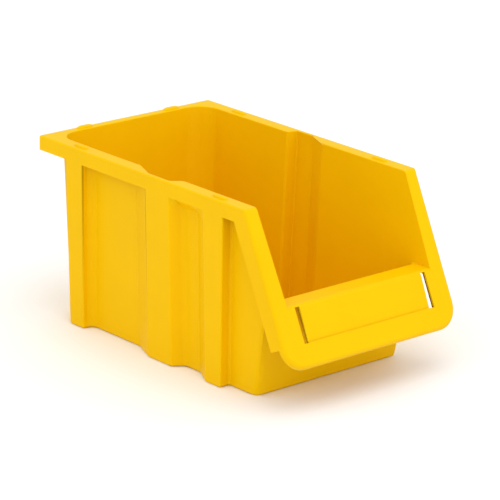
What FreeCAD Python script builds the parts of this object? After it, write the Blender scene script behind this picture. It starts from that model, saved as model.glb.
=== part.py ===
import FreeCAD, Part
import math
import os
import Sketcher

# Stackable storage bin, one polypropylene moulding divided at its mould regions.
# Origin: middle of the footprint on the resting plane. +X right, +Y rear, +Z up.
# The picking front faces -Y.

os.makedirs("parts", exist_ok=True)
doc = FreeCAD.newDocument("storage_bin")

SIZES = [
    ("bin_length", 230.0),     # rear rim edge to nose tip
    ("bin_width", 133.6),      # across the side rims
    ("bin_height", 114.0),     # resting plane to rim top
    ("wall_thick", 2.2),       # nominal moulded wall
    ("floor_thick", 2.5),
    ("rim_thick", 2.2),        # rim plate
    ("skirt_drop", 9.0),       # rim top to lower edge of the turned-down skirt
    ("skirt_thick", 2.0),
    ("side_foot", 56.0),       # half width over the side walls at the floor
    ("side_head", 59.8),       # half width over the side walls under the rim
    ("proud_foot", 63.2),      # half width over the flutes and pads at the floor
    ("rear_foot", 108.0),      # rear wall outer face at the floor
    ("rear_head", 111.0),      # rear wall outer face under the rim
    ("rear_rim_edge", 109.4),  # inner edge of the rear rim
    ("corner_radius", 16.0),   # outer radius of the rear wall corners
    ("rear_pad_back", 89.5),   # proud rear pad, back and front faces
    ("rear_pad_front", 72.5),
    ("left_flute_rear", 31.0),  # left flute: wall, start and end of the proud face, wall
    ("left_proud_rear", 14.0),
    ("left_proud_front", -7.0),
    ("left_flute_front", -12.0),
    ("right_flute_rear", 32.0),  # right flute: the same four lines
    ("right_proud_rear", 30.5),
    ("right_proud_front", 14.0),
    ("right_flute_front", -1.0),
    ("front_pad_rear", -25.0),  # front pad: start of its ramp, then its proud face
    ("front_pad_back", -38.0),
    ("front_pad_front", -55.0),
    ("front_foot", -75.0),     # front wall outer face at the floor
    ("ridge_back", -86.0),     # rear edge of the ridge above the front wall
    ("ridge_height", 61.0),    # resting plane to ridge top
    ("rim_front", -73.7),      # front end of the side rims, start of the slope
    ("nose_height", 28.6),     # resting plane to nose edge on the slope plane
    ("slope_skirt", 12.0),     # depth of the side skirts behind the sloped frame
    ("nose_lip", 4.5),         # depth of the lip behind the nose edge
    ("nose_radius", 15.0),     # corner radius of the nose
    ("label_half", 47.3),      # half width of the label panel
    ("slot_width", 3.5),       # slot beside the label panel
    ("slot_top", 0.8),         # ridge edge to slot, along the slope
    ("label_foot", 14.2),      # nose edge to label panel, along the slope
    ("label_sink", 0.6),       # label panel below the frame face
    ("lug_length", 12.0),      # stacking lugs on the rim
    ("lug_width", 4.0),
    ("lug_height", 1.4),
    ("lug_side_x", 62.0),
    ("lug_rear_y", 80.0),
    ("lug_front_y", -47.0),
    ("lug_back_x", 34.0),
    ("lug_back_y", 112.2),
]

sheet = doc.addObject("Spreadsheet::Sheet", "Sizes")
for row, (name, value) in enumerate(SIZES, start=1):
    sheet.set("A%d" % row, name)
    sheet.set("B%d" % row, str(value))
    sheet.setAlias("B%d" % row, name)
doc.recompute()


def size(name):
    return "Sizes." + name


def half_width(level, inset="0"):
    """Half width over the drafted side walls at a level, less an inset."""
    return (
        "(Sizes.side_foot + (%s - Sizes.floor_thick) * (Sizes.side_head - Sizes.side_foot)"
        " / (Sizes.bin_height - Sizes.rim_thick - Sizes.floor_thick) - %s)" % (level, inset)
    )


def slope_y(level, inset="0"):
    """Y of the slope plane at a level; inset is measured square to the plane."""
    return (
        "(Sizes.rim_front - (Sizes.bin_height - %s) * (Sizes.bin_length / 2 + Sizes.rim_front)"
        " / (Sizes.bin_height - Sizes.nose_height) + %s / sin(%s))" % (level, inset, SLOPE)
    )


RUN = "(Sizes.bin_length / 2 + Sizes.rim_front)"
DROP = "(Sizes.bin_height - Sizes.nose_height)"
SLOPE = "atan(%s / %s)" % (DROP, RUN)
SLOPE_LENGTH = "sqrt(%s ^ 2 + %s ^ 2)" % (RUN, DROP)
WALL = size("wall_thick")
EDGE = "(Sizes.bin_width / 2)"
SKIRT_FOOT = "(Sizes.bin_height - Sizes.skirt_drop)"
RIM_FOOT = "(Sizes.bin_height - Sizes.rim_thick)"
RIDGE_FOOT = "(Sizes.ridge_height - Sizes.wall_thick)"
FLOOR_TOP = size("floor_thick")
RIDGE_DOWN = "((Sizes.bin_height - Sizes.ridge_height) / sin(%s))" % SLOPE
nodes = []


def new_body(label):
    body = doc.addObject("PartDesign::Body", label)
    body.Label = label
    nodes.append(body)
    return body


def origin_plane(body, role):
    for feature in body.Origin.OriginFeatures:
        if feature.Role == role:
            return feature
    raise ValueError(role)


def value_of(expression):
    """Plain number of an expression, used as the first guess of a dimension."""
    probe = doc.getObject("Probe")
    if probe is None:
        probe = doc.addObject("App::FeaturePython", "Probe")
        probe.addProperty("App::PropertyFloat", "Value")
    probe.setExpression("Value", expression)
    probe.recompute()
    return probe.Value


def new_sketch(body, name, plane, offset="0"):
    sketch = body.newObject("Sketcher::SketchObject", name)
    sketch.AttachmentSupport = [(origin_plane(body, plane), "")]
    sketch.MapMode = "FlatFace"
    sketch.setExpression("AttachmentOffset.Base.z", "(%s) * 1 mm" % offset)
    return sketch


def place(sketch, geo, end, x, y, tag):
    """Fix one end of a sketch element at a pair of sheet expressions."""
    for axis, expression in (("X", x), ("Y", y)):
        name = "%s_%s" % (tag, axis.lower())
        kind = "Distance" + axis
        index = sketch.addConstraint(Sketcher.Constraint(kind, geo, end, value_of(expression)))
        sketch.renameConstraint(index, name)
        sketch.setExpression("Constraints." + name, "(%s) * 1 mm" % expression)


def polygon(sketch, points, tag="v"):
    """Closed polygon; every corner is a pair of expressions."""
    first = sketch.GeometryCount
    spots = [FreeCAD.Vector(value_of(x), value_of(y), 0) for x, y in points]
    count = len(points)
    for i in range(count):
        sketch.addGeometry(Part.LineSegment(spots[i], spots[(i + 1) % count]), False)
    for i in range(count):
        following = first + (i + 1) % count
        sketch.addConstraint(Sketcher.Constraint("Coincident", first + i, 2, following, 1))
    for i, (x, y) in enumerate(points):
        place(sketch, first + i, 1, x, y, "%s%d" % (tag, i))


def pad(body, sketch, length, reverse=False):
    feature = body.newObject("PartDesign::Pad", sketch.Name + "_pad")
    feature.Profile = sketch
    feature.setExpression("Length", "(%s) * 1 mm" % length)
    feature.Reversed = reverse
    body.Tip = feature
    return feature


def cut_through(body, sketch):
    """Cut a side-view profile right through, both ways from its plane."""
    feature = body.newObject("PartDesign::Pocket", sketch.Name + "_cut")
    feature.Profile = sketch
    feature.Type = 1
    feature.Midplane = True
    body.Tip = feature
    return feature


def loft(body, first, second):
    feature = body.newObject("PartDesign::AdditiveLoft", first.Name + "_loft")
    feature.Profile = first
    feature.Sections = [second]
    feature.Ruled = True
    body.Tip = feature
    return feature


def lofted(label, low_points, low, high_points, high):
    """Drafted piece between a polygon at one level and a polygon at another."""
    body = new_body(label)
    bottom = new_sketch(body, label + "_bottom", "XY_Plane", low)
    polygon(bottom, low_points)
    top = new_sketch(body, label + "_top", "XY_Plane", high)
    polygon(top, high_points)
    loft(body, bottom, top)
    return body


def quarter_ring(sketch, cx, cy, outer, inner, side, tag="q"):
    """Quarter ring from the +Y side round to the side face; side is +1 or -1."""
    mid = FreeCAD.Vector(value_of(cx), value_of(cy), 0)
    axis = FreeCAD.Vector(0, 0, 1)
    start, end = (0.0, math.pi / 2) if side > 0 else (math.pi / 2, math.pi)
    first = sketch.GeometryCount
    for radius in (outer, inner):
        circle = Part.Circle(mid, axis, value_of(radius))
        sketch.addGeometry(Part.ArcOfCircle(circle, start, end), False)
    big, small = first, first + 1
    flat, upright = (1, 2) if side > 0 else (2, 1)
    span = {}
    for which in (1, 2):
        a = sketch.getPoint(big, which)
        b = sketch.getPoint(small, which)
        span[which] = sketch.addGeometry(Part.LineSegment(a, b), False)
        sketch.addConstraint(Sketcher.Constraint("Coincident", big, which, span[which], 1))
        sketch.addConstraint(Sketcher.Constraint("Coincident", small, which, span[which], 2))
    place(sketch, big, 3, cx, cy, tag + "c")
    sketch.addConstraint(Sketcher.Constraint("Coincident", big, 3, small, 3))
    for geo, radius, name in ((big, outer, "_outer"), (small, inner, "_inner")):
        index = sketch.addConstraint(Sketcher.Constraint("Radius", geo, value_of(radius)))
        sketch.renameConstraint(index, tag + name)
        sketch.setExpression("Constraints." + tag + name, "(%s) * 1 mm" % radius)
    sketch.addConstraint(Sketcher.Constraint("Horizontal", span[flat]))
    sketch.addConstraint(Sketcher.Constraint("Vertical", span[upright]))
    for geo in (big,):
        sketch.addConstraint(Sketcher.Constraint("Horizontal", geo, flat, geo, 3))
        sketch.addConstraint(Sketcher.Constraint("Vertical", geo, upright, geo, 3))


def round_uprights(body, plate, name, radius, low_y, high_y):
    """Round the upright edges of a plate that lie between two y values."""
    chosen = []
    for i, edge in enumerate(plate.Shape.Edges, start=1):
        ends = [v.Point for v in edge.Vertexes]
        if abs(ends[0].z - ends[1].z) > 1.0 and low_y < ends[0].y < high_y:
            chosen.append("Edge%d" % i)
    feature = body.newObject("PartDesign::Fillet", name)
    feature.Base = (plate, chosen)
    feature.setExpression("Radius", "(%s) * 1 mm" % radius)
    body.Tip = feature


def mirror_points(points, sign):
    """Points given for the right side; the left side has x negated."""
    if sign > 0:
        return points
    return [("(-1 * (%s))" % x, y) for x, y in reversed(points)]


SIDES = ((1, "right"), (-1, "left"))

# ---- floor: the drafted box footprint plus the two flute bumps -------------------------
floor_body = new_body("floor")
sketch = new_sketch(floor_body, "floor_outline", "XY_Plane")
foot = size("side_foot")
polygon(sketch, [
    ("-" + foot, size("front_foot")),
    (foot, size("front_foot")),
    (foot, size("rear_foot")),
    ("-" + foot, size("rear_foot")),
])
plate = pad(floor_body, sketch, FLOOR_TOP)
doc.recompute()
round_uprights(floor_body, plate, "floor_corners", size("corner_radius"), 0.0, 999.0)
for sign, side in SIDES:
    sketch = new_sketch(floor_body, "floor_flute_" + side, "XY_Plane")
    polygon(sketch, mirror_points([
        (foot + " - 1", size(side + "_flute_rear")),
        (foot + " - 1", size(side + "_flute_front")),
        (foot, size(side + "_flute_front")),
        (size("proud_foot"), size(side + "_proud_front")),
        (size("proud_foot"), size(side + "_proud_rear")),
        (foot, size(side + "_flute_rear")),
    ], sign))
    pad(floor_body, sketch, FLOOR_TOP)

# ---- rear wall and its two rounded corners ---------------------------------------------
radius = size("corner_radius")
inner_radius = "(Sizes.corner_radius - Sizes.wall_thick)"
LEVELS = (
    (FLOOR_TOP, foot, size("rear_foot"), size("proud_foot")),
    (RIM_FOOT, size("side_head"), size("rear_head"), EDGE),
)
quads = []
for level, reach, back, proud in LEVELS:
    straight = "(%s - %s)" % (reach, radius)
    quads.append([
        ("-" + straight, "(%s - %s)" % (back, WALL)),
        (straight, "(%s - %s)" % (back, WALL)),
        (straight, back),
        ("-" + straight, back),
    ])
lofted("rear_wall", quads[0], FLOOR_TOP, quads[1], RIM_FOOT)
for sign, side in SIDES:
    body = new_body("rear_corner_" + side)
    rings = []
    for tag, (level, reach, back, proud) in zip(("bottom", "top"), LEVELS):
        sketch = new_sketch(body, "rear_corner_%s_%s" % (side, tag), "XY_Plane", level)
        cx = "(%s - %s)" % (reach, radius)
        cx = cx if sign > 0 else "(-1 * %s)" % cx
        quarter_ring(sketch, cx, "(%s - %s)" % (back, radius), radius, inner_radius, sign)
        rings.append(sketch)
    loft(body, rings[0], rings[1])

# ---- side walls: rear run, fluted run, front run ---------------------------------------


def flute_inside(side, near, proud):
    """Inside corners of a flute, rear to front; its steep step keeps the wall thickness."""
    rear, front = size(side + "_flute_rear"), size(side + "_flute_front")
    proud_rear, proud_front = size(side + "_proud_rear"), size(side + "_proud_front")
    if side == "left":
        return [
            (near, rear),
            (proud, proud_rear),
            (proud, "(%s + %s)" % (proud_front, WALL)),
            (near, "(%s + %s)" % (front, WALL)),
            (near, front),
        ]
    return [
        (near, rear),
        (near, "(%s - %s)" % (rear, WALL)),
        (proud, "(%s - %s)" % (proud_rear, WALL)),
        (proud, proud_front),
        (near, front),
    ]


for sign, side in SIDES:
    runs = []
    for level, reach, back, proud in LEVELS:
        start = "(%s - %s)" % (back, radius)
        runs.append(mirror_points([
            ("(%s - %s)" % (reach, WALL), start),
            ("(%s - %s)" % (reach, WALL), size(side + "_flute_rear")),
            (reach, size(side + "_flute_rear")),
            (reach, start),
        ], sign))
    lofted("side_wall_rear_" + side, runs[0], FLOOR_TOP, runs[1], RIM_FOOT)

for sign, side in SIDES:
    rings = []
    for level, reach, back, proud in LEVELS:
        inside = flute_inside(side, "(%s - %s)" % (reach, WALL), "(%s - %s)" % (proud, WALL))
        rings.append(mirror_points([(reach, size(side + "_flute_rear"))] + inside + [
            (reach, size(side + "_flute_front")),
            (proud, size(side + "_proud_front")),
            (proud, size(side + "_proud_rear")),
        ], sign))
    body = lofted("side_wall_flute_" + side, rings[0], FLOOR_TOP, rings[1], RIM_FOOT)
    sketch = new_sketch(body, "flute_head_room_" + side, "XY_Plane", SKIRT_FOOT)
    polygon(sketch, mirror_points([
        ("(%s - Sizes.skirt_thick)" % EDGE, "(Sizes.%s_flute_rear + 1)" % side),
        ("(%s - Sizes.skirt_thick)" % EDGE, "(Sizes.%s_flute_front - 1)" % side),
        ("(%s + 1)" % EDGE, "(Sizes.%s_flute_front - 1)" % side),
        ("(%s + 1)" % EDGE, "(Sizes.%s_flute_rear + 1)" % side),
    ], sign))
    trim = body.newObject("PartDesign::Pocket", "flute_head_cut_" + side)
    trim.Profile = sketch
    trim.Reversed = True
    trim.setExpression("Length", "Sizes.skirt_drop * 1 mm")
    body.Tip = trim

for sign, side in SIDES:
    body = new_body("side_wall_front_" + side)
    sketch = new_sketch(body, "side_front_section_" + side, "XZ_Plane",
                        "(-1 * Sizes.%s_flute_front)" % side)
    polygon(sketch, mirror_points([
        (half_width(FLOOR_TOP, WALL), FLOOR_TOP),
        (half_width(FLOOR_TOP), FLOOR_TOP),
        (half_width(RIM_FOOT), RIM_FOOT),
        (half_width(RIM_FOOT, WALL), RIM_FOOT),
    ], sign))
    pad(body, sketch, "(Sizes.bin_length / 2 + Sizes.%s_flute_front)" % side)
    outline = new_sketch(body, "side_front_outline_" + side, "YZ_Plane")
    far = "(-1 * Sizes.bin_length / 2 - 5)"
    polygon(outline, [
        (size("front_foot"), "0"),
        (size("front_foot"), FLOOR_TOP),
        (size("ridge_back"), RIDGE_FOOT),
        (slope_y(RIDGE_FOOT, WALL), RIDGE_FOOT),
        (slope_y(RIM_FOOT, WALL), RIM_FOOT),
        (slope_y(RIM_FOOT, WALL), "(Sizes.bin_height + 5)"),
        (far, "(Sizes.bin_height + 5)"),
        (far, "0"),
    ])
    cut_through(body, outline)

# ---- proud pads on the side walls, hollow and open below -------------------------------
for sign, side in SIDES:
    for which in ("rear", "front"):
        back = size(which + "_pad_back")
        front = size(which + "_pad_front")
        root, root_in = back, "(%s - %s)" % (back, WALL)
        back_in = root_in
        if which == "front":
            root, root_in = size("front_pad_rear"), "(Sizes.front_pad_rear - 2 * %s)" % WALL
            back_in = "(%s - %s / 2)" % (back, WALL)
        shapes = []
        for level, proud in ((FLOOR_TOP, size("proud_foot")), (SKIRT_FOOT, EDGE)):
            reach = half_width(level)
            skin = "(%s - %s)" % (proud, WALL)
            shapes.append(mirror_points([
                (reach, front),
                (proud, front),
                (proud, back),
                (reach, root),
                (reach, root_in),
                (skin, back_in),
                (skin, "(%s + %s)" % (front, WALL)),
                (reach, "(%s + %s)" % (front, WALL)),
            ], sign))
        lofted("%s_pad_%s" % (which, side), shapes[0], FLOOR_TOP, shapes[1], SKIRT_FOOT)

# ---- front wall and the ridge above it -------------------------------------------------
low_in = half_width(FLOOR_TOP, WALL)
high_in = half_width(RIDGE_FOOT, WALL)
lofted(
    "front_wall",
    [
        ("-" + low_in, size("front_foot")),
        (low_in, size("front_foot")),
        (low_in, "(Sizes.front_foot + Sizes.wall_thick)"),
        ("-" + low_in, "(Sizes.front_foot + Sizes.wall_thick)"),
    ],
    FLOOR_TOP,
    [
        ("-" + high_in, size("ridge_back")),
        (high_in, size("ridge_back")),
        (high_in, "(Sizes.ridge_back + Sizes.wall_thick)"),
        ("-" + high_in, "(Sizes.ridge_back + Sizes.wall_thick)"),
    ],
    RIDGE_FOOT,
)
ridge = new_body("front_ridge")
sketch = new_sketch(ridge, "ridge_section", "XZ_Plane",
                    "(-1 * Sizes.ridge_back - Sizes.wall_thick)")
top_in = half_width(size("ridge_height"), WALL)
polygon(sketch, [
    ("-" + high_in, RIDGE_FOOT),
    (high_in, RIDGE_FOOT),
    (top_in, size("ridge_height")),
    ("-" + top_in, size("ridge_height")),
])
pad(ridge, sketch, "(Sizes.bin_length / 2 + Sizes.ridge_back)")
outline = new_sketch(ridge, "ridge_outline", "YZ_Plane")
panel_back = "(Sizes.wall_thick + Sizes.label_sink)"
polygon(outline, [
    (slope_y("(%s - 1)" % RIDGE_FOOT, panel_back), RIDGE_FOOT + " - 1"),
    (slope_y("(Sizes.ridge_height + 1)", panel_back), "Sizes.ridge_height + 1"),
    (far, "Sizes.ridge_height + 1"),
    (far, RIDGE_FOOT + " - 1"),
])
cut_through(ridge, outline)

# ---- sloped frame: drawn flat, then the body is tipped onto the slope -------------------


def tip_onto_slope(body):
    """Local x stays across the bin, local y runs up the slope, local z faces out."""
    body.Placement.Rotation = FreeCAD.Rotation(FreeCAD.Vector(1, 0, 0), 60)
    body.setExpression("Placement.Rotation.Angle", SLOPE)
    body.setExpression("Placement.Base.y", "Sizes.rim_front * 1 mm")
    body.setExpression("Placement.Base.z", "Sizes.bin_height * 1 mm")


band_in = "(Sizes.label_half + Sizes.slot_width)"
panel_down = "(%s - Sizes.label_foot)" % SLOPE_LENGTH
slot_high = "(%s + Sizes.slot_top)" % RIDGE_DOWN
slot_low = "(%s - 1.2)" % panel_down
for sign, side in SIDES:
    body = new_body("slope_flange_" + side)
    sketch = new_sketch(body, "slope_band_" + side, "XY_Plane", "(-1 * Sizes.wall_thick)")
    polygon(sketch, mirror_points([
        (half_width(size("bin_height"), WALL), "0"),
        (half_width(size("ridge_height"), WALL), "(-1 * %s)" % RIDGE_DOWN),
        (band_in, "(-1 * %s)" % RIDGE_DOWN),
        (band_in, "(-1 * %s)" % panel_down),
        (EDGE, "(-1 * %s)" % panel_down),
        (EDGE, "0"),
    ], sign))
    pad(body, sketch, WALL)
    tip_onto_slope(body)

label_panel = new_body("label_panel")
sketch = new_sketch(label_panel, "label_outline", "XY_Plane",
                    "(-1 * Sizes.wall_thick - Sizes.label_sink)")
right_half = [
    (band_in, "(-1 * %s)" % panel_down),
    (band_in, "(-1 * %s)" % slot_low),
    (size("label_half"), "(-1 * %s)" % slot_low),
    (size("label_half"), "(-1 * %s)" % slot_high),
    (band_in, "(-1 * %s)" % slot_high),
    (band_in, "(-1 * %s)" % RIDGE_DOWN),
]
polygon(sketch, right_half + mirror_points(right_half, -1))
pad(label_panel, sketch, WALL)
tip_onto_slope(label_panel)

nose = new_body("nose_flange")
sketch = new_sketch(nose, "nose_outline", "XY_Plane", "(-1 * Sizes.wall_thick)")
polygon(sketch, [
    ("-" + EDGE, "(-1 * %s)" % SLOPE_LENGTH),
    (EDGE, "(-1 * %s)" % SLOPE_LENGTH),
    (EDGE, "(-1 * %s)" % panel_down),
    ("-" + EDGE, "(-1 * %s)" % panel_down),
])
plate = pad(nose, sketch, WALL)
doc.recompute()
nose_round = "min(Sizes.nose_radius; Sizes.label_foot - 0.1)"
nose_end = -value_of(SLOPE_LENGTH)
round_uprights(nose, plate, "nose_corners", nose_round, nose_end - 1, nose_end + 1)
tip_onto_slope(nose)

# ---- skirts turned back behind the sloped frame ----------------------------------------
SKIRT = size("skirt_thick")
nose_skirt = new_body("nose_skirt")
sketch = new_sketch(nose_skirt, "nose_skirt_outline", "XY_Plane", "(-1 * Sizes.nose_lip)")
straight = "(%s - %s)" % (EDGE, nose_round)
polygon(sketch, [
    ("-" + straight, "(-1 * %s)" % SLOPE_LENGTH),
    (straight, "(-1 * %s)" % SLOPE_LENGTH),
    (straight, "(-1 * %s + %s)" % (SLOPE_LENGTH, SKIRT)),
    ("-" + straight, "(-1 * %s + %s)" % (SLOPE_LENGTH, SKIRT)),
])
pad(nose_skirt, sketch, "(Sizes.nose_lip - Sizes.wall_thick)")
tip_onto_slope(nose_skirt)
for sign, side in SIDES:
    body = new_body("nose_corner_skirt_" + side)
    sketch = new_sketch(body, "nose_corner_ring_" + side, "XY_Plane", "Sizes.wall_thick")
    cx = straight if sign > 0 else "(-1 * %s)" % straight
    quarter_ring(sketch, cx, "(%s - %s)" % (SLOPE_LENGTH, nose_round), nose_round,
                 "(%s - %s)" % (nose_round, SKIRT), sign)
    pad(body, sketch, "(Sizes.nose_lip - Sizes.wall_thick)")
    body.Placement.Rotation = FreeCAD.Rotation(FreeCAD.Vector(1, 0, 0), 60)
    body.setExpression("Placement.Rotation.Angle", SLOPE + " - 180 deg")
    body.setExpression("Placement.Base.y", "Sizes.rim_front * 1 mm")
    body.setExpression("Placement.Base.z", "Sizes.bin_height * 1 mm")


def behind(level_down, depth):
    """Side-view point: distance down the slope and depth square behind its face."""
    y = "(Sizes.rim_front - %s * cos(%s) + %s * sin(%s))" % (level_down, SLOPE, depth, SLOPE)
    z = "(Sizes.bin_height - %s * sin(%s) - %s * cos(%s))" % (level_down, SLOPE, depth, SLOPE)
    return y, z


skirt_end = "(%s - %s)" % (SLOPE_LENGTH, nose_round)
rim_join = "(Sizes.rim_front + Sizes.slope_skirt)"
for sign, side in SIDES:
    body = new_body("slope_skirt_" + side)
    sketch = new_sketch(body, "slope_skirt_side_" + side, "YZ_Plane",
                        "(%d * %s)" % (sign, EDGE))
    meet = (
        "(Sizes.rim_front - (Sizes.skirt_drop - Sizes.slope_skirt / cos(%s)) / tan(%s))"
        % (SLOPE, SLOPE)
    )
    polygon(sketch, [
        (rim_join, RIM_FOOT),
        (slope_y(RIM_FOOT, WALL), RIM_FOOT),
        behind(skirt_end, WALL),
        behind(skirt_end, size("slope_skirt")),
        (meet, SKIRT_FOOT),
        (rim_join, SKIRT_FOOT),
    ])
    pad(body, sketch, SKIRT, reverse=sign > 0)

# ---- rim plates, rim skirts and stacking lugs ------------------------------------------
head_in = half_width(RIM_FOOT, WALL)
rear_rim = new_body("rim_rear")
sketch = new_sketch(rear_rim, "rim_rear_outline", "XY_Plane", RIM_FOOT)
corner_in = "(Sizes.rear_rim_edge - Sizes.corner_radius + Sizes.wall_thick)"
HALF_LENGTH = "(Sizes.bin_length / 2)"
polygon(sketch, [
    ("-" + EDGE, corner_in),
    ("-" + head_in, corner_in),
    ("-" + head_in, size("rear_rim_edge")),
    (head_in, size("rear_rim_edge")),
    (head_in, corner_in),
    (EDGE, corner_in),
    (EDGE, HALF_LENGTH),
    ("-" + EDGE, HALF_LENGTH),
])
plate = pad(rear_rim, sketch, size("rim_thick"))
doc.recompute()
rim_edge = value_of(size("rear_rim_edge"))
round_uprights(rear_rim, plate, "rim_rear_corners",
               "(Sizes.corner_radius - Sizes.wall_thick - 0.1)", rim_edge - 1, rim_edge + 1)
for sign, side in SIDES:
    body = new_body("rim_" + side)
    sketch = new_sketch(body, "rim_outline_" + side, "XY_Plane", RIM_FOOT)
    inside = flute_inside(side, head_in, "(%s - %s)" % (EDGE, WALL))
    polygon(sketch, mirror_points([(head_in, corner_in)] + inside[:-1] + [
        (head_in, slope_y(RIM_FOOT, WALL)),
        (EDGE, slope_y(RIM_FOOT, WALL)),
        (EDGE, corner_in),
    ], sign))
    pad(body, sketch, size("rim_thick"))
    outline = new_sketch(body, "rim_front_cut_" + side, "YZ_Plane")
    polygon(outline, [
        (slope_y("(Sizes.bin_height + 2)", WALL), "(Sizes.bin_height + 2)"),
        (slope_y("(%s - 2)" % RIM_FOOT, WALL), "(%s - 2)" % RIM_FOOT),
        (far, "(%s - 2)" % RIM_FOOT),
        (far, "(Sizes.bin_height + 2)"),
    ])
    cut_through(body, outline)

body = new_body("rim_skirt_rear")
sketch = new_sketch(body, "rim_skirt_rear_outline", "XY_Plane", SKIRT_FOOT)
polygon(sketch, [
    ("-" + EDGE, "(%s - %s)" % (HALF_LENGTH, SKIRT)),
    (EDGE, "(%s - %s)" % (HALF_LENGTH, SKIRT)),
    (EDGE, HALF_LENGTH),
    ("-" + EDGE, HALF_LENGTH),
])
pad(body, sketch, "(Sizes.skirt_drop - Sizes.rim_thick)")
for sign, side in SIDES:
    body = new_body("rim_skirt_" + side)
    sketch = new_sketch(body, "rim_skirt_outline_" + side, "XY_Plane", SKIRT_FOOT)
    polygon(sketch, mirror_points([
        ("(%s - %s)" % (EDGE, SKIRT), rim_join),
        (EDGE, rim_join),
        (EDGE, "(%s - %s)" % (HALF_LENGTH, SKIRT)),
        ("(%s - %s)" % (EDGE, SKIRT), "(%s - %s)" % (HALF_LENGTH, SKIRT)),
    ], sign))
    pad(body, sketch, "(Sizes.skirt_drop - Sizes.rim_thick)")

# Stacking lugs: six low rounded beads on the rim top, one node of separate solids.
values = {name: sheet.get(name) for name, start in SIZES}
bead = []
radius_bead = (values["lug_width"] ** 2 / 4 + values["lug_height"] ** 2)
radius_bead = radius_bead / (2 * values["lug_height"])
spots = []
for sign, side in SIDES:
    for along in ("lug_rear_y", "lug_front_y"):
        spots.append((sign * values["lug_side_x"], values[along], 90))
    spots.append((sign * values["lug_back_x"], values["lug_back_y"], 0))
for x, y, turn in spots:
    rod = Part.makeCylinder(
        radius_bead, values["lug_length"],
        FreeCAD.Vector(-values["lug_length"] / 2, 0, values["lug_height"] - radius_bead),
        FreeCAD.Vector(1, 0, 0),
    )
    keep = Part.makeBox(
        values["lug_length"], values["lug_width"], values["lug_height"],
        FreeCAD.Vector(-values["lug_length"] / 2, -values["lug_width"] / 2, 0),
    )
    lug = rod.common(keep).Solids[0]
    lug.rotate(FreeCAD.Vector(0, 0, 0), FreeCAD.Vector(0, 0, 1), turn)
    lug.translate(FreeCAD.Vector(x, y, values["bin_height"]))
    bead.append(lug)
lugs = doc.addObject("Part::Feature", "stacking_lugs")
lugs.Label = "stacking_lugs"
lugs.Shape = Part.makeCompound(bead)
nodes.append(lugs)

doc.removeObject("Probe")
doc.recompute()

for obj in doc.Objects:
    if "Invalid" in obj.State or "Error" in obj.State:
        raise RuntimeError("%s: %s" % (obj.Name, obj.State))
for node in nodes:
    if node.Shape.isNull() or not node.Shape.isValid() or not node.Shape.Solids:
        raise RuntimeError("bad shape: " + node.Label)
for node in nodes:
    node.Shape.exportStep("parts/%s.step" % node.Label)
print("parts written:", len(nodes))
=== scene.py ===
import math

import bmesh
import bpy
from mathutils import Matrix, Vector


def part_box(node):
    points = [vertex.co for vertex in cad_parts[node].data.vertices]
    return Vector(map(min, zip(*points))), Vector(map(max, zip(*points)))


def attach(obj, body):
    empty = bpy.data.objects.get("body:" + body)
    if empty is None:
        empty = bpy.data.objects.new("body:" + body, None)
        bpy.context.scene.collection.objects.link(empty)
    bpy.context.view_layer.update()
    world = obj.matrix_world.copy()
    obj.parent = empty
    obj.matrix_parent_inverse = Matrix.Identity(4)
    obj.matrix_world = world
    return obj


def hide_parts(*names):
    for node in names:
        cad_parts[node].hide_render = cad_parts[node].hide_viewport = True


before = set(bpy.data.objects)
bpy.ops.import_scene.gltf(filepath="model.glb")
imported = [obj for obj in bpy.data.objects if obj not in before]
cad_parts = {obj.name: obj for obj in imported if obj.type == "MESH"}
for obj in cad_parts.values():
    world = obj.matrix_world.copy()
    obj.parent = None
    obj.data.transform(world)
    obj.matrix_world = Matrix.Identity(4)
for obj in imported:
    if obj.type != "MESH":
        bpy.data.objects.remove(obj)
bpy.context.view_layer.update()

bl_info = {
    "name": "Stackable Storage Bin",
    "version": (1, 0, 0),
    "blender": (4, 5, 0),
    "location": "View3D > Sidebar > Storage Bin",
    "description": "Builds an open-front stacking bin with its rim, label front and stacking lugs",
    "category": "Object",
}

MM = 0.001  # the shell is worked out in millimetres and scaled once at the end

# working distances of the booleans, in millimetres
SKIN = 0.02  # keeps two surfaces of one boolean out of one plane
JUMP = 0.05  # between two levels where an outline changes at once
WELD = 0.005  # points nearer than this become one
NEAR = 0.03  # a point this close to a face lies on it
CLEAR = 3.0  # how far a cutting solid stands off the face it cuts
BEYOND = -140.0  # front end of a solid that is cut back to the slope later
SHARP = math.radians(30.0)  # least turn at a mould edge
FLAT = math.radians(0.4)  # faces turned by less than this become one

# draft and run-out of the pads and flutes, in millimetres
RUN_OUT = 0.6  # draw-in of the proud faces inside the rim skirt
BLEND = 6.0  # height over which the hollow before a flute runs out
BLEND_STEP = 0.9  # step that stays beside the proud face there
FRONT_PAD_DRAFT = 4.0  # how much further back the front face of a pad starts at its foot
REAR_PAD_DRAFT = 3.5

# plan radii of the cup and of the storage space, in millimetres
FRONT_CORNER = 5.0
FRONT_PAD_ROOT = 1.5
FRONT_PAD_CREST = 1.2
HOLLOW_CREST = 4.0
HOLLOW_ROOT = 6.0
REAR_PAD_ROOT = 5.0
REAR_PAD_CREST = 1.0
REAR_PAD_END_CREST = 1.2
REAR_PAD_END_ROOT = 2.0
SPACE_CORNER = 3.0
FLUTE_OUTSIDE = (5.0, 1.5)  # root and crest
FLUTE_INSIDE = (4.0, 1.2)


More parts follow.
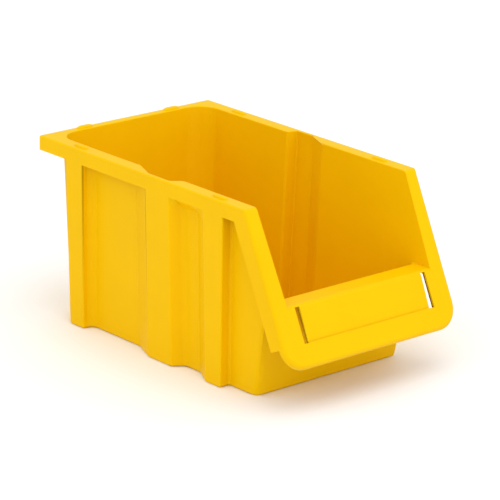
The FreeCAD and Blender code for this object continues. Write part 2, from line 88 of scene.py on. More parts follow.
def measured():
    """Places and sizes in millimetres, read from the fixed parts of the frame."""

    def low(node):
        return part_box(node)[0] / MM

    def high(node):
        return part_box(node)[1] / MM

    return {
        "edge": high("rim_right").x,
        "back": high("rim_rear").y,
        "top": high("rim_rear").z,
        "rim_foot": low("rim_rear").z,
        "skirt_foot": low("rim_skirt_rear").z,
        "floor_top": high("floor").z,
        "side_head": high("side_wall_rear_right").x,
        "side_foot_in": low("side_wall_rear_right").x,
        "rear_head": high("rear_wall").y,
        "rear_foot_in": low("rear_wall").y,
        "front_foot_in": high("front_wall").y,
        "front_head": low("front_wall").y,
        "ridge_top": high("front_ridge").z,
        "ridge_foot": low("front_ridge").z,
        "nose_y": low("nose_flange").y,
        "proud_foot": high("floor").x,
        "left_flute_rear": high("side_wall_flute_left").y,
        "left_flute_front": low("side_wall_flute_left").y,
        "right_flute_rear": high("side_wall_flute_right").y,
        "right_flute_front": low("side_wall_flute_right").y,
        "rear_pad_back": high("rear_pad_right").y,
        "rear_pad_front": low("rear_pad_right").y,
        "front_pad_back": high("front_pad_right").y,
        "front_pad_front": low("front_pad_right").y,
        "skirt_in": low("rim_skirt_right").x,
        "lug_side": high("stacking_lugs").x,
        "lug_front": low("stacking_lugs").y,
        "lug_back": high("stacking_lugs").y,
        "lug_top": high("stacking_lugs").z,
    }


class BinSizes(bpy.types.PropertyGroup):
    """Sizes of the moulding that a user may change, in millimetres."""

    wall: bpy.props.FloatProperty(
        name="Wall", description="Nominal moulded wall in mm", default=2.2, min=1.0, max=4.0)
    slope_start: bpy.props.FloatProperty(
        name="Slope start", description="Front end of the level rim in mm", default=-73.7)
    nose_height: bpy.props.FloatProperty(
        name="Nose height", description="Resting plane to nose edge in mm", default=28.6)
    nose_radius: bpy.props.FloatProperty(
        name="Nose radius", description="Corner radius of the nose in mm", default=14.1)
    nose_lip: bpy.props.FloatProperty(
        name="Nose lip", description="Depth of the lip behind the nose edge in mm", default=4.5)
    slope_skirt: bpy.props.FloatProperty(
        name="Slope skirt", description="Depth of the side skirts behind the slope in mm",
        default=12.0)
    corner_radius: bpy.props.FloatProperty(
        name="Corner radius", description="Outer radius of the rear corners in mm", default=16.0)
    foot_round: bpy.props.FloatProperty(
        name="Foot rounding", description="Radius under the walls in mm", default=1.6, min=0.5)
    left_proud: bpy.props.FloatVectorProperty(
        name="Left flute", description="Front and rear end of its proud face in mm",
        size=2, default=(-7.0, 14.0))
    right_proud: bpy.props.FloatVectorProperty(
        name="Right flute", description="Front and rear end of its proud face in mm",
        size=2, default=(14.0, 30.5))
    front_pad_back: bpy.props.FloatProperty(
        name="Front pad back", description="Rear end of the front pad's proud face in mm",
        default=-38.0)
    label_half: bpy.props.FloatProperty(
        name="Label half width", description="Half width of the label panel in mm", default=47.3)
    slot_width: bpy.props.FloatProperty(
        name="Slot width", description="Slot beside the label panel in mm", default=3.5)
    slot_top: bpy.props.FloatProperty(
        name="Slot top", description="Ridge edge to slot along the slope in mm", default=0.8)
    label_foot: bpy.props.FloatProperty(
        name="Label foot", description="Nose edge to label panel along the slope in mm",
        default=14.2)
    label_sink: bpy.props.FloatProperty(
        name="Label sink", description="Step at the foot of the label panel in mm",
        default=0.9)
    edge_round: bpy.props.FloatProperty(
        name="Edge rounding", description="Radius on the small mould edges in mm", default=0.6)
    frame_round: bpy.props.FloatProperty(
        name="Frame rounding", description="Radius round the sloped front in mm", default=2.6)
    lug_length: bpy.props.FloatProperty(
        name="Lug length", description="Length of a stacking lug in mm", default=12.0)
    lug_width: bpy.props.FloatProperty(
        name="Lug width", description="Width of a stacking lug in mm", default=4.0)
    lug_rear: bpy.props.FloatProperty(
        name="Rear lug place", description="Middle of the rear side lugs in mm", default=80.0)
    lug_across: bpy.props.FloatProperty(
        name="Back lug spread", description="Middle of the bin to a back lug in mm",
        default=34.0)


class BinColours(bpy.types.PropertyGroup):
    """Finish of the moulding."""

    plastic: bpy.props.FloatVectorProperty(
        name="Plastic", description="Base colour of the moulded plastic", subtype="COLOR",
        size=3, min=0.0, max=1.0, default=(0.85, 0.50, 0.0))
    gloss: bpy.props.FloatProperty(
        name="Roughness", description="Mean roughness of the moulded skin", subtype="FACTOR",
        min=0.0, max=1.0, default=0.42)
    # Pales the rubbed edges: partly wear, partly a painted highlight along the rims and edges.
    wear_and_highlight: bpy.props.FloatProperty(
        name="Edge wear", description="How far rubbed edges pale", subtype="FACTOR",
        min=0.0, max=1.0, default=0.25)


# ---- solids ------------------------------------------------------------------------------


def filleted(corners, steps=6):
    """Closed outline with every corner (x, y, radius) turned into an arc of equal steps."""
    points = []
    count = len(corners)
    for i, (x, y, radius) in enumerate(corners):
        if radius <= 0.0:
            points.append((x, y))
            continue
        here = Vector((x, y))
        before = Vector(corners[i - 1][:2]) - here
        after = Vector(corners[(i + 1) % count][:2]) - here
        before.normalize()
        after.normalize()
        half = before.angle(after) / 2
        reach = radius / math.tan(half)
        centre = here + (before + after).normalized() * (radius / math.sin(half))
        start = here + before * reach - centre
        end = here + after * reach - centre
        sweep = start.angle_signed(end)
        for k in range(steps + 1):
            turn = Matrix.Rotation(-sweep * k / steps, 2)
            points.append(tuple(centre + turn @ start))
    return points


def stack(name, rings):
    """Closed solid from rings of 3D points with equal counts, capped at both ends."""
    bm = bmesh.new()
    loops = [[bm.verts.new(p) for p in ring] for ring in rings]
    count = len(loops[0])
    for low, high in zip(loops, loops[1:]):
        for i in range(count):
            j = (i + 1) % count
            bm.faces.new((low[i], low[j], high[j], high[i]))
    bm.faces.new(list(reversed(loops[0])))
    bm.faces.new(loops[-1])
    bmesh.ops.recalc_face_normals(bm, faces=bm.faces)
    mesh = bpy.data.meshes.new(name)
    bm.to_mesh(mesh)
    bm.free()
    made = bpy.data.objects.new(name, mesh)
    bpy.context.scene.collection.objects.link(made)
    return made


def side_prism(name, points, x_low, x_high):
    """Side-view outline (y, z) run across the bin."""
    return stack(name, [[(x, y, z) for y, z in points] for x in (x_low, x_high)])


def apply_modifiers(body):
    """Replace the mesh of an object by what its modifiers make of it."""
    graph = bpy.context.evaluated_depsgraph_get()
    done = bpy.data.meshes.new_from_object(body.evaluated_get(graph))
    body.modifiers.clear()
    spent = body.data
    body.data = done
    bpy.data.meshes.remove(spent)


def combine(target, tool, operation):
    """Exact union or difference; the tool is used up."""
    step = target.modifiers.new("step", "BOOLEAN")
    step.operation = operation
    step.solver = "EXACT"
    step.object = tool
    step.use_self = False
    apply_modifiers(target)
    bpy.data.objects.remove(tool)
    if not target.data.polygons:
        raise RuntimeError("empty result after " + operation)
    return target


class Shape:
    """Lines of the moulding in millimetres."""

    def __init__(self, sizes):
        self.m = measured()
        self.s = sizes
        m = self.m
        self.wall = sizes.wall
        self.run = -m["nose_y"] + sizes.slope_start
        self.drop = m["top"] - sizes.nose_height
        self.tilt = math.atan2(self.drop, self.run)
        self.length = math.hypot(self.run, self.drop)
        self.side_foot = m["side_foot_in"] + self.wall
        self.rear_foot = m["rear_foot_in"] + self.wall
        self.front_foot = m["front_foot_in"] - self.wall
        self.ridge_down = (m["top"] - m["ridge_top"]) / math.sin(self.tilt)
        self.skin = m["edge"] - SKIN

    def half(self, z):
        """Half width over the side walls at a level."""
        m = self.m
        share = (z - m["floor_top"]) / (m["rim_foot"] - m["floor_top"])
        return self.side_foot + share * (m["side_head"] - self.side_foot)

    def rear(self, z):
        """Outside of the rear wall at a level."""
        m = self.m
        share = (z - m["floor_top"]) / (m["rim_foot"] - m["floor_top"])
        return self.rear_foot + share * (m["rear_head"] - self.rear_foot)

    def front(self, z):
        """Outside of the front wall at a level."""
        m = self.m
        share = (z - m["floor_top"]) / (m["ridge_foot"] - m["floor_top"])
        return self.front_foot + share * (m["front_head"] - self.front_foot)

    def behind(self, down, depth):
        """Side-view point: distance down the slope and depth square behind its face."""
        c, s = math.cos(self.tilt), math.sin(self.tilt)
        return (self.s.slope_start - down * c + depth * s, self.m["top"] - down * s - depth * c)

    def slope_y(self, z, depth=0.0):
        """Place of the slope at a level, or of a line square behind it."""
        return (self.s.slope_start - (self.m["top"] - z) * self.run / self.drop
                + depth / math.sin(self.tilt))

    def proud(self, z):
        """Half width over the flutes and pads; they run out inside the rim skirt."""
        m = self.m
        if z > m["skirt_foot"]:
            return m["edge"] - RUN_OUT * (z - m["skirt_foot"]) / (m["top"] - m["skirt_foot"])
        share = (z - m["floor_top"]) / (m["skirt_foot"] - m["floor_top"])
        return m["proud_foot"] + share * (m["edge"] - m["proud_foot"])

    def flute(self, side, near, far, shift, rounds, mid=None):
        """Plan corners of a flute, front to rear; shift moves its steep step inwards."""
        m = self.m
        root, crest = rounds
        soft_root = root + 2.0
        soft_crest = 2 * crest
        tight_root = root / 2
        mid = near if mid is None else mid
        if side == "left":
            front, rear = self.s.left_proud
            return [
                (mid, m["left_flute_front"] + shift, root),
                (far, front + shift, crest),
                (far, rear, soft_crest),
                (near, m["left_flute_rear"], soft_root),
            ]
        front, rear = self.s.right_proud
        return [
            (mid, m["right_flute_front"], soft_root),
            (far, front, soft_crest),
            (far, rear - shift, crest),
            (near, m["right_flute_rear"] - shift, tight_root),
        ]

    def outer(self, z, inset=0.0, reach=None):
        """Plan outline over the walls, flutes and pads at a level."""
        m = self.m
        w = self.half(z) - inset
        e = self.proud(z) - inset
        back = self.rear(z) - inset
        front = (self.front(z) if reach is None else reach) + inset
        low = max(0.0, 1.0 - z / m["top"])
        # the hollow in front of the flute runs out softly under the rim skirt
        rise = min(max((z - m["skirt_foot"]) / BLEND + 1.0, 0.0), 1.0)
        mid = w + rise * (e - w - BLEND_STEP)
        pad_front = m["front_pad_front"] + FRONT_PAD_DRAFT * low + inset
        rear_pad = m["rear_pad_front"] + REAR_PAD_DRAFT * low + inset
        sides = []
        for side in ("right", "left"):
            sides.append([
                (w, front, max(FRONT_CORNER - inset, 0.8)),
                (w, pad_front, FRONT_PAD_ROOT),
                (e, pad_front, max(FRONT_PAD_CREST - 0.3 * inset, 0.3)),
                (e, self.s.front_pad_back, HOLLOW_CREST),
                (mid, m["front_pad_back"], HOLLOW_ROOT),
            ] + self.flute(side, w, e, inset, FLUTE_OUTSIDE, mid) + [
                (w, rear_pad, REAR_PAD_ROOT),
                (e, rear_pad, REAR_PAD_CREST),
                (e, m["rear_pad_back"] - inset, REAR_PAD_END_CREST),
                (w, m["rear_pad_back"] - inset, REAR_PAD_END_ROOT),
                (w, back, self.s.corner_radius - inset),
            ])
        return self.both(sides[0], sides[1], z)

    def inner(self, z, inset=0.0, reach=None):
        """Plan outline of the storage space at a level."""
        wall = self.wall
        w = self.half(z) - wall - inset
        e = min(self.proud(z), self.m["edge"]) - wall - inset
        step = wall + inset
        back = self.rear(z) - wall - inset
        front = (self.front(z) + wall + inset) if reach is None else reach
        sides = []
        for side in ("right", "left"):
            sides.append([(w, front, SPACE_CORNER)] + self.flute(side, w, e, step, FLUTE_INSIDE) + [
                (w, back, self.s.corner_radius - wall - inset),
            ])
        return self.both(sides[0], sides[1], z)

    @staticmethod
    def both(right, left, z):
        """Closed ring at a level from the corners of its right and left halves."""
        mirrored = [(-x, y, r) for x, y, r in reversed(left)]
        return [(x, y, z) for x, y in filleted(right + mirrored)]

    def on_slope(self, points, depth):
        """Outline (x, distance down the slope) at a depth behind the slope face."""
        ring = []
        for x, down in points:
            y, z = self.behind(down, depth)
            ring.append((x, y, z))
        return ring


def nose_outline(half, foot, head, radius):
    """Front outline (x, distance down the slope) with its two lower corners rounded."""
    return filleted([
        (-half, head, 0.0),
        (half, head, 0.0),
        (half, foot, radius),
        (-half, foot, radius),
    ], 10)


def frame_plate(g):
    """Rim, sloped front and their skirts, hollow from behind."""
    m, sizes, wall = g.m, g.s, g.wall
    top, edge, back = m["top"], g.skin, m["back"]
    overlap = 1.0
    skirt = 2.0
    brow = 3.0
    below = m["skirt_foot"] - 5.0
    deep = 30.0
    body = side_prism("shell", [
        (back, m["skirt_foot"]),
        (back, top),
        (sizes.slope_start, top),
        (g.slope_y(m["skirt_foot"]), m["skirt_foot"]),
    ], -edge, edge)
    front = nose_outline(edge, g.length, 0.0, sizes.nose_radius)
    combine(body, stack("slope", [g.on_slope(front, sizes.nose_lip), g.on_slope(front, 0.0)]),
            "UNION")
    end = g.length - sizes.nose_radius
    sides = [(-edge, 0.0), (edge, 0.0), (edge, end), (-edge, end)]
    combine(body, stack("side_skirts", [g.on_slope(sides, sizes.slope_skirt),
                                        g.on_slope(sides, overlap)]), "UNION")
    hollow = side_prism("hollow", [
        (back - skirt, below),
        (back - skirt, m["rim_foot"]),
        (g.slope_y(m["rim_foot"], wall), m["rim_foot"]),
        (g.slope_y(below, wall), below),
    ], -m["skirt_in"], m["skirt_in"])
    behind = nose_outline(m["skirt_in"], g.length - skirt, brow, sizes.nose_radius - skirt)
    combine(hollow, stack("hollow_slope", [g.on_slope(behind, deep), g.on_slope(behind, wall)]),
            "UNION")
    combine(body, hollow, "DIFFERENCE")
    return body


def quarter(radius, steps):
    """Insets and rises along a quarter round, from its foot to its side."""
    turns = [math.radians(90.0 * step / steps) for step in range(steps + 1)]
    return [(radius * (1 - math.sin(turn)), radius * (1 - math.cos(turn))) for turn in turns]


def cup_solid(g):
    """Drafted cup with flutes and pads; above the ridge it reaches out to the slope."""
    m = g.m
    under_rim = m["top"] - 0.4
    rings = [g.outer(rise, inset) for inset, rise in quarter(g.s.foot_round, 5)]
    rings.append(g.outer(m["ridge_foot"]))
    for z in (m["ridge_foot"] + JUMP, m["skirt_foot"] - BLEND, m["skirt_foot"], under_rim):
        rings.append(g.outer(z, reach=BEYOND))
    cup = stack("cup", rings)
    depth = g.wall / 2
    low, high = 20.0, m["top"] + 5.0
    far, side = -200.0, 100.0
    return combine(cup, side_prism("above_slope", [
        (g.slope_y(low, depth), low),
        (g.slope_y(high, depth), high),
        (far, high),
        (far, low),
    ], -side, side), "DIFFERENCE")


def space_solid(g):
    """Storage space, round at its floor and over the rear edge of the ridge."""
    m = g.m
    foot_round = 2.2
    crest_round = 3.0
    above_rim = m["top"] + 6.0
    start = g.front(m["ridge_top"]) + g.wall
    rings = [g.inner(m["floor_top"] + rise, inset) for inset, rise in quarter(foot_round, 4)]
    for drop, advance in quarter(crest_round, 4):
        rings.append(g.inner(m["ridge_top"] - drop, reach=start - advance))
    for z in (m["ridge_top"] + JUMP, m["skirt_foot"], above_rim):
        rings.append(g.inner(z, reach=BEYOND))
    return stack("space", rings)


def tidy_mesh(body):
    """Weld near points and merge flat faces."""
    bm = bmesh.new()
    bm.from_mesh(body.data)
    bmesh.ops.remove_doubles(bm, verts=bm.verts, dist=WELD)
    bmesh.ops.dissolve_degenerate(bm, dist=WELD, edges=bm.edges)
    bmesh.ops.dissolve_limit(bm, angle_limit=FLAT, verts=bm.verts, edges=bm.edges,
                             use_dissolve_boundaries=False)
    bm.to_mesh(body.data)
    bm.free()


def weigh_edges(body, share):
    """Give every sharp edge its share of the bevel width."""
    bm = bmesh.new()
    bm.from_mesh(body.data)
    layer = bm.edges.layers.float.new("bevel_weight_edge")
    for e in bm.edges:
        if len(e.link_faces) == 2 and e.calc_face_angle(0.0) > SHARP:
            e[layer] = share(e.verts[0].co, e.verts[1].co)
    bm.to_mesh(body.data)
    bm.free()


def bevel_by_weight(body, width, segments):
    """Round the weighted edges, then drop the weights."""
    rounding = body.modifiers.new("edges", "BEVEL")
    rounding.width = width
    rounding.segments = segments
    rounding.limit_method = "WEIGHT"
    rounding.miter_outer = "MITER_SHARP"
    rounding.use_clamp_overlap = False
    apply_modifiers(body)
    body.data.attributes.remove(body.data.attributes["bevel_weight_edge"])


def round_frame(body, g):
    """Large roundings: sloped frame perimeter, ridge front edge, crest and rim edge."""
    m = g.m
    wide = g.s.frame_round
    brow_round = 1.6
    ridge_round = 2.2
    rim_round = 1.1
    c, s = math.cos(g.tilt), math.sin(g.tilt)
    slack = 0.02
    ridge_reach = 0.2
    straight = g.length - g.s.nose_radius - 0.2

    def on_face(p):
        return abs((p.y - g.s.slope_start) * s - (p.z - m["top"]) * c) < NEAR

    def down(p):
        return (m["top"] - p.z) / s

    def share(a, b):
        level = abs(a.z - m["top"]) < NEAR and abs(b.z - m["top"]) < NEAR
        outside = abs(a.x) > m["edge"] - NEAR and abs(b.x) > m["edge"] - NEAR
        if on_face(a) and on_face(b):
            if level:
                return brow_round / wide
            if outside or min(down(a), down(b)) > straight:
                return 1.0
            if abs(a.z - b.z) < slack and abs(a.z - m["ridge_top"]) < ridge_reach:
                return ridge_round / wide
        elif level and (outside or min(a.y, b.y) > m["back"] - NEAR):
            return rim_round / wide
        return 0.0

    weigh_edges(body, share)
    bevel_by_weight(body, wide, 4)


def label_cuts(body, g):
    """Sunk label panel that runs out at the ridge, and the slot on each side of it."""
    sizes = g.s
    lift = 0.22
    slot_depth = 9.0
    high = g.ridge_down
    low = g.length - sizes.label_foot
    slot_low = low + 0.3
    outline = [g.behind(high, -CLEAR), g.behind(high, -lift), g.behind(low, sizes.label_sink),
               g.behind(low, -CLEAR)]
    half = sizes.label_half + sizes.slot_width / 2
    combine(body, side_prism("recess", outline, -half, half), "DIFFERENCE")
    for sign in (1, -1):
        near, far = sizes.label_half, sizes.label_half + sizes.slot_width
        head = g.ridge_down + sizes.slot_top
        slot = [(sign * near, head), (sign * far, head), (sign * far, slot_low),
                (sign * near, slot_low)]
        combine(body, stack("slot", [g.on_slope(slot, slot_depth), g.on_slope(slot, -CLEAR)]),
                "DIFFERENCE")


def pad_hollows(body, g):
    """Room inside the four pads, open below."""
    m, wall = g.m, g.wall
    slant = 2.4 * wall
    below, head = -1.0, m["skirt_foot"] + 3.0
    front = m["front_pad_front"] + FRONT_PAD_DRAFT + wall
    rear = m["rear_pad_front"] + REAR_PAD_DRAFT + wall
    room = (
        (front, g.s.front_pad_back - wall, front, m["front_pad_back"] - slant),
        (rear, m["rear_pad_back"] - wall, rear, m["rear_pad_back"] - wall),
    )
    for sign in (1, -1):
        for far_a, far_b, near_a, near_b in room:
            rings = []
            for z in (below, head):
                near, far = g.half(z) + SKIN, g.proud(z) - wall
                rings.append([(sign * x, y, z) for x, y in (
                    (near, near_a), (far, far_a), (far, far_b), (near, near_b))])
            combine(body, stack("pad_hollow", rings), "DIFFERENCE")


def build_shell(sizes):
    """The whole moulding as one closed body, in millimetres."""
    g = Shape(sizes)
    body = frame_plate(g)
    combine(body, cup_solid(g), "UNION")
    combine(body, space_solid(g), "DIFFERENCE")
    tidy_mesh(body)
    round_frame(body, g)
    label_cuts(body, g)
    pad_hollows(body, g)
    tidy_mesh(body)
    return body


def finish_shell(body, sizes):
    """Small mould edges, clean shading and the change to metres."""
    m = measured()
    side = 50.0
    slot_near = sizes.label_half - 0.1
    slot_far = sizes.label_half + sizes.slot_width + 0.1
    slot_back = -90.0
    ridge_back = m["front_head"] + 3.0

    def crisp(p):
        """Places where the mould leaves a sharp edge."""
        skirt_foot = abs(p.x) > side and abs(p.z - m["skirt_foot"]) < 0.4
        slot = slot_near < abs(p.x) < slot_far and p.y < slot_back
        ridge_end = abs(p.z - m["ridge_top"]) < 3.2 and p.y < ridge_back
        under = p.z < 0.3
        return skirt_foot or slot or ridge_end or under

    weigh_edges(body, lambda a, b: 0.0 if crisp(a) and crisp(b) else 1.0)
    bevel_by_weight(body, sizes.edge_round, 3)
    for p in body.data.polygons:
        p.use_smooth = True
    even = body.modifiers.new("flat faces lead", "WEIGHTED_NORMAL")
    even.mode = "FACE_AREA"
    even.weight = 80
    apply_modifiers(body)
    body.data.transform(Matrix.Scale(MM, 4))
    body.data.name = "moulded_shell"
    body.name = "moulded_shell"
    return body


# ---- plastic -----------------------------------------------------------------------------


class Socket:
    """Output of a shader node that can be used in a Python expression."""

    def __init__(self, tree, out):
        self.tree = tree
        self.out = out

    def math(self, operation, *values):
        node = self.tree.nodes.new("ShaderNodeMath")
        node.operation = operation
        for slot, value in zip(node.inputs, (self,) + values):
            feed(self.tree, slot, value)
        return Socket(self.tree, node.outputs[0])

    def __add__(self, other):
        return self.math("ADD", other)

    __radd__ = __add__

    def __mul__(self, other):
        return self.math("MULTIPLY", other)

    __rmul__ = __mul__

    def __sub__(self, other):
        return self.math("SUBTRACT", other)

    def __rsub__(self, other):
        return (self * -1.0) + other

    def __truediv__(self, other):
        return self.math("DIVIDE", other)

    def __rtruediv__(self, other):
        return self.math("POWER", -1.0) * other

    def clamped(self):
        return self.math("MINIMUM", 1.0).math("MAXIMUM", 0.0)


def feed(tree, slot, value):
    """Link a socket or set a constant."""
    if isinstance(value, Socket):
        tree.links.new(value.out, slot)
    else:
        slot.default_value = value


class Graph:
    """Node tree written as expressions."""

    def __init__(self, tree):
        self.tree = tree

    def node(self, kind, settings, values, output=0):
        """One node of any type with its settings and its input values."""
        made = self.tree.nodes.new(kind)
        for name, value in settings.items():
            setattr(made, name, value)
        for name, value in values.items():
            feed(self.tree, made.inputs[name], value)
        return Socket(self.tree, made.outputs[output])

    def noise(self, place, scale, detail):
        return self.node("ShaderNodeTexNoise", {}, {
            "Vector": place, "Scale": scale, "Detail": detail, "Roughness": 0.55})

    def mix_colour(self, factor, first, second):
        made = self.tree.nodes.new("ShaderNodeMix")
        made.data_type = "RGBA"
        feed(self.tree, made.inputs[0], factor)
        feed(self.tree, made.inputs[6], first)
        feed(self.tree, made.inputs[7], second)
        return Socket(self.tree, made.outputs[2])


def plastic(colours):
    """Satin moulded plastic: fine grain, soft tone change, and pale edges that are partly rubbed
    wear and partly a painted highlight.
    """
    mat = bpy.data.materials.new("yellow moulded plastic")
    mat.use_nodes = True
    tree = mat.node_tree
    skin = tree.nodes["Principled BSDF"]
    graph = Graph(tree)
    place = graph.node("ShaderNodeTexCoord", {}, {}, "Object")
    grain = graph.noise(place, scale=1400.0, detail=3.0)
    cloud = graph.noise(place, scale=28.0, detail=3.0)
    rub = graph.noise(place, scale=260.0, detail=4.0)

    soft = graph.node("ShaderNodeBevel", {"samples": 6}, {"Radius": 0.0011})
    true = graph.node("ShaderNodeNewGeometry", {}, {}, "Normal")
    turned = graph.node("ShaderNodeVectorMath", {"operation": "DOT_PRODUCT"}, {}, "Value")
    tree.links.new(soft.out, turned.out.node.inputs[0])
    tree.links.new(true.out, turned.out.node.inputs[1])
    # Edge mask from the bevel normal: patchy rubbed wear, and also a painted highlight on the edges
    # and rims.
    wear_and_highlight_gain = 5.0
    patchy = rub * 1.6 - 0.1
    edge = ((1.0 - turned) * wear_and_highlight_gain * patchy).clamped() * colours.wear_and_highlight

    base = Vector(colours.plastic)
    deep_share, light_share = 0.965, 1.03
    deep = (*(base * deep_share), 1.0)
    light = (*(base * light_share), 1.0)
    # Pale, slightly bluer edge colour: partly wear, partly a painted highlight.
    pale = (min(base.x * 1.05, 1.0), base.y * 1.16, base.z + 0.03, 1.0)
    tone = (cloud * 1.5 - 0.25).clamped()
    colour = graph.mix_colour(edge, graph.mix_colour(tone, deep, light), pale)
    tree.links.new(colour.out, skin.inputs["Base Color"])
    cloud_dull, rub_dull, edge_dull = 0.12, 0.10, 0.2
    rough = (colours.gloss + (cloud - 0.5) * cloud_dull + (rub - 0.5) * rub_dull
             + edge * edge_dull)
    tree.links.new(rough.out, skin.inputs["Roughness"])
    skin.inputs["Specular IOR Level"].default_value = 0.05
    bump = graph.node("ShaderNodeBump", {}, {
        "Strength": 0.12, "Distance": 0.0001, "Height": grain * 0.7 + rub * 0.3})
    tree.links.new(bump.out, skin.inputs["Normal"])
    return mat


# ---- lugs --------------------------------------------------------------------------------


def lug_tree():
    """Node tree that sets six rounded beads on the rim."""
    tree = bpy.data.node_groups.new("stacking lugs", "GeometryNodeTree")
    face = tree.interface
    for name in ("Side Place", "Front Place", "Rear Place", "Back Spread", "Back Place",
                 "Rim Top", "Length", "Width", "Height"):
        face.new_socket(name, in_out="INPUT", socket_type="NodeSocketFloat")
    face.new_socket("Material", in_out="INPUT", socket_type="NodeSocketMaterial")
    face.new_socket("Geometry", in_out="OUTPUT", socket_type="NodeSocketGeometry")
    nodes, links = tree.nodes, tree.links
    given = nodes.new("NodeGroupInput")
    graph = Graph(tree)

    def value(name):
        return Socket(tree, given.outputs[name])

    def vector(x, y, z):
        return graph.node("ShaderNodeCombineXYZ", {}, {"X": x, "Y": y, "Z": z})

    ball = graph.node("GeometryNodeMeshUVSphere", {}, {
        "Segments": 48, "Rings": 24, "Radius": 1.0})
    spot = graph.node("GeometryNodeInputPosition", {}, {})
    parts = nodes.new("ShaderNodeSeparateXYZ")
    links.new(spot.out, parts.inputs[0])
    x, y, z = (Socket(tree, parts.outputs[i]) for i in range(3))
    end_power, side_power = 0.62, 0.85  # below one squares the bead off
    blunt = x.math("SIGN") * x.math("ABSOLUTE").math("POWER", end_power)
    flat = y.math("SIGN") * y.math("ABSOLUTE").math("POWER", side_power)
    shaped = vector(blunt * value("Length") * 0.5, flat * value("Width") * 0.5,
                    z * value("Height"))
    bead = graph.node("GeometryNodeSetPosition", {}, {"Geometry": ball, "Position": shaped})
    smooth = graph.node("GeometryNodeSetShadeSmooth", {}, {"Geometry": bead})

    def pair(reach, along):
        """Two points on the rim, mirrored across the bin."""
        return graph.node("GeometryNodeMeshLine", {"mode": "OFFSET"}, {
            "Count": 2,
            "Start Location": vector(reach * -1.0, along, value("Rim Top")),
            "Offset": vector(reach * 2.0, 0.0, 0.0)})

    def join(first, second):
        made = nodes.new("GeometryNodeJoinGeometry")
        links.new(first.out, made.inputs[0])
        links.new(second.out, made.inputs[0])
        return Socket(tree, made.outputs[0])

    sides = join(pair(value("Side Place"), value("Front Place")),
                 pair(value("Side Place"), value("Rear Place")))
    back = pair(value("Back Spread"), value("Back Place"))
    along = graph.node("GeometryNodeInstanceOnPoints", {}, {
        "Points": sides, "Instance": smooth, "Rotation": (0.0, 0.0, math.radians(90.0))})
    across = graph.node("GeometryNodeInstanceOnPoints", {}, {"Points": back, "Instance": smooth})
    solid = graph.node("GeometryNodeRealizeInstances", {}, {"Geometry": join(along, across)})
    coated = graph.node("GeometryNodeSetMaterial", {}, {
        "Geometry": solid, "Material": value("Material")})
    links.new(coated.out, nodes.new("NodeGroupOutput").inputs["Geometry"])
    return tree


def grow(name, tree, values):
    """Run a node tree once and keep its result as a plain mesh object."""
    made = bpy.data.objects.new(name, bpy.data.meshes.new(name))
    bpy.context.scene.collection.objects.link(made)
    step = made.modifiers.new("nodes", "NODES")
    step.node_group = tree
    for item in tree.interface.items_tree:
        if item.in_out == "INPUT":
            step[item.identifier] = values[item.name]
    apply_modifiers(made)
    if not made.data.polygons:
        raise RuntimeError("nothing grew for " + name)
    return made


class BIN_OT_lugs(bpy.types.Operator):
    """Set the six stacking lugs on the rim"""

    bl_idname = "storage_bin.lugs"
    bl_label = "Stacking lugs"

    def execute(self, context):
        sizes = context.scene.bin_sizes
        m = measured()
        mat = plastic(context.scene.bin_colours)
        lugs = grow("lugs", lug_tree(), {
            "Side Place": (m["lug_side"] - sizes.lug_width / 2) * MM,
            "Front Place": (m["lug_front"] + sizes.lug_length / 2) * MM,
            "Rear Place": sizes.lug_rear * MM,
            "Back Spread": sizes.lug_across * MM,
            "Back Place": (m["lug_back"] - sizes.lug_width / 2) * MM,
            "Rim Top": m["top"] * MM,
            "Length": sizes.lug_length * MM,
            "Width": sizes.lug_width * MM,
            "Height": (m["lug_top"] - m["top"]) * MM,
            "Material": mat,
        })
        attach(lugs, "root")
        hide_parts("stacking_lugs")
        return {"FINISHED"}


class BIN_OT_shell(bpy.types.Operator):
    """Build the moulded shell: walls, flutes, rim, label front and floor"""

    bl_idname = "storage_bin.shell"
    bl_label = "Moulded shell"

    def execute(self, context):
        sizes = context.scene.bin_sizes
        body = build_shell(sizes)
        finish_shell(body, sizes)
        body.data.materials.clear()
        body.data.materials.append(plastic(context.scene.bin_colours))
        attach(body, "root")
        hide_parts(*[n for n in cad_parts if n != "stacking_lugs"])
        return {"FINISHED"}


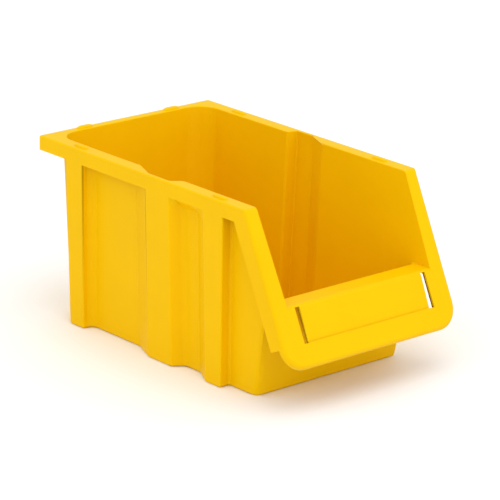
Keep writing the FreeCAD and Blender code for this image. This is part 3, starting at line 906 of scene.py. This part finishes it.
class BIN_OT_stage(bpy.types.Operator):
    """Floor, lights and camera"""

    bl_idname = "storage_bin.stage"
    bl_label = "Stage"

    def execute(self, context):
        scene = context.scene
        mesh = bpy.data.meshes.new("floor_sheet")
        s = 6.0
        pale = 0.93
        mesh.from_pydata([(-s, -s, 0), (s, -s, 0), (s, s, 0), (-s, s, 0)], [], [(0, 1, 2, 3)])
        floor = bpy.data.objects.new("floor_sheet", mesh)
        scene.collection.objects.link(floor)
        mat = bpy.data.materials.new("pale floor")
        mat.use_nodes = True
        surface = mat.node_tree.nodes["Principled BSDF"]
        surface.inputs["Base Color"].default_value = (pale, pale, pale, 1)
        surface.inputs["Roughness"].default_value = 0.8
        floor.data.materials.append(mat)

        world = bpy.data.worlds.new("studio")
        world.use_nodes = True
        sky = world.node_tree.nodes["Background"]
        sky.inputs["Color"].default_value = (1, 1, 1, 1)
        sky.inputs["Strength"].default_value = 1.0
        scene.world = world
        scene.view_settings.view_transform = "Standard"

        def lamp(name, place, aim, size, power):
            data = bpy.data.lights.new(name, "AREA")
            data.shape = "RECTANGLE"
            data.size, data.size_y = size
            data.energy = power
            made = bpy.data.objects.new(name, data)
            made.location = place
            made.rotation_mode = "QUATERNION"
            made.rotation_quaternion = (Vector(aim) - Vector(place)).to_track_quat("-Z", "Y")
            scene.collection.objects.link(made)

        lamp("key", (-1.2, -0.5, 1.4), aim=(0, 0, 0.06), size=(1.4, 1.4), power=3.0)
        lamp("fill", (-0.2, -1.8, 1.0), aim=(0, 0, 0.06), size=(1.6, 1.2), power=3.5)
        lamp("top", (-0.1, -0.7, 1.9), aim=(0, 0.02, 0.06), size=(1.2, 1.2), power=8.0)

        turn, lift, roll = math.radians(-41.47), math.radians(18.34), math.radians(1.2)
        distance, sideways, upwards = 1.79771, 0.00339, 0.05479
        rear = Vector((math.sin(turn) * math.cos(lift), -math.cos(turn) * math.cos(lift),
                       math.sin(lift)))
        right = Vector((math.cos(turn), math.sin(turn), 0.0))
        up = rear.cross(right)
        side = right * math.cos(roll) + up * math.sin(roll)
        rise = up * math.cos(roll) - right * math.sin(roll)
        data = bpy.data.cameras.new("camera")
        data.sensor_width = 36.0
        data.lens = 215.352
        camera = bpy.data.objects.new("camera", data)
        place = side * sideways + rise * upwards + rear * distance
        camera.matrix_world = Matrix((
            (side.x, rise.x, rear.x, place.x),
            (side.y, rise.y, rear.y, place.y),
            (side.z, rise.z, rear.z, place.z),
            (0, 0, 0, 1),
        ))
        scene.collection.objects.link(camera)
        scene.camera = camera
        return {"FINISHED"}


class BIN_PT_sidebar(bpy.types.Panel):
    """Sizes, finish and the steps that build the bin"""

    bl_idname = "BIN_PT_sidebar"
    bl_label = "Storage Bin"
    bl_space_type = "VIEW_3D"
    bl_region_type = "UI"
    bl_category = "Storage Bin"

    def draw(self, context):
        layout = self.layout
        for group in (context.scene.bin_sizes, context.scene.bin_colours):
            box = layout.box()
            for name in group.__annotations__:
                box.prop(group, name)
        for kind in (BIN_OT_stage, BIN_OT_shell, BIN_OT_lugs):
            layout.operator(kind.bl_idname)


CLASSES = (BinSizes, BinColours, BIN_OT_shell, BIN_OT_lugs, BIN_OT_stage, BIN_PT_sidebar)


def register():
    for c in CLASSES:
        bpy.utils.register_class(c)
    bpy.types.Scene.bin_sizes = bpy.props.PointerProperty(type=BinSizes)
    bpy.types.Scene.bin_colours = bpy.props.PointerProperty(type=BinColours)


def unregister():
    del bpy.types.Scene.bin_colours
    del bpy.types.Scene.bin_sizes
    for c in reversed(CLASSES):
        bpy.utils.unregister_class(c)


def main():
    register()
    bpy.ops.storage_bin.stage()
    bpy.ops.storage_bin.shell()
    bpy.ops.storage_bin.lugs()


if __name__ == "__main__":
    main()
